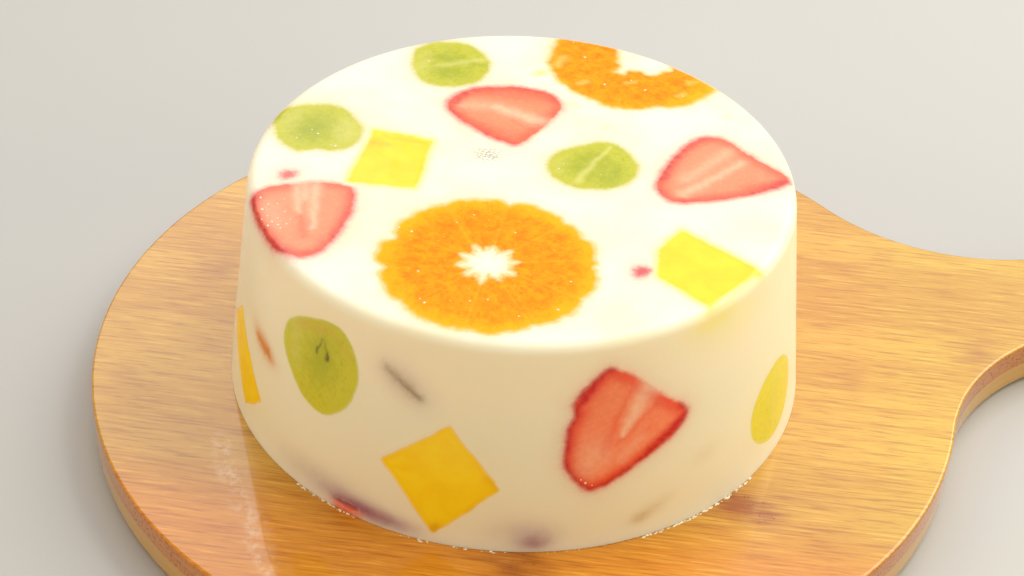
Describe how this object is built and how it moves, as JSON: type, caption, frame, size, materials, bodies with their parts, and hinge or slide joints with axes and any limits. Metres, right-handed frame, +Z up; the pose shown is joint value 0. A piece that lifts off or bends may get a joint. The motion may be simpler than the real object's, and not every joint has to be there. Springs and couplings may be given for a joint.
{
  "type": "moulded jelly",
  "caption": "Round white milk jelly set with cut fruit at its top and wall, turned out on a round bamboo board with a handle.",
  "frame": {"origin": "on the underside of the board, at the centre of its disc", "axes": "+X along the board's handle, towards its end; +Z up, out of the board towards the jelly's top"},
  "size_m": [0.36, 0.25, 0.0788],
  "materials": {
    "bamboo": "varnished bamboo, strips along the board, satin gloss",
    "milk_jelly": "wet, smooth, translucent white",
    "grape": "moist cut green grape",
    "strawberry": "moist cut strawberry with a red rim and a pale core",
    "mango": "moist smooth cut mango",
    "mandarin": "moist cut mandarin, juice cells in segments"
  },
  "bodies": {
    "root": {"board": "bamboo", "jelly": "milk_jelly", "grape_top_back": "grape", "grape_top_left": "grape", "grape_top_middle": "grape", "grape_wall_left": "grape", "grape_wall_right": "grape", "grape_wall_back": "grape", "grape_wall_back_left": "grape", "grape_chip_front": "grape", "strawberry_top_back": "strawberry", "strawberry_top_right": "strawberry", "strawberry_top_left": "strawberry", "strawberry_wall_front": "strawberry", "strawberry_wall_right": "strawberry", "strawberry_wall_back": "strawberry", "strawberry_chip_front": "strawberry", "strawberry_chip_left": "strawberry", "strawberry_chip_foot": "strawberry", "mango_top_left": "mango", "mango_top_front": "mango", "mango_wall_left": "mango", "mango_wall_front": "mango", "mango_wall_back_right": "mango", "mango_wall_back_left": "mango", "mandarin_top_front": "mandarin", "mandarin_top_back": "mandarin", "mandarin_chip_left": "mandarin"}
  },
  "joints": []
}
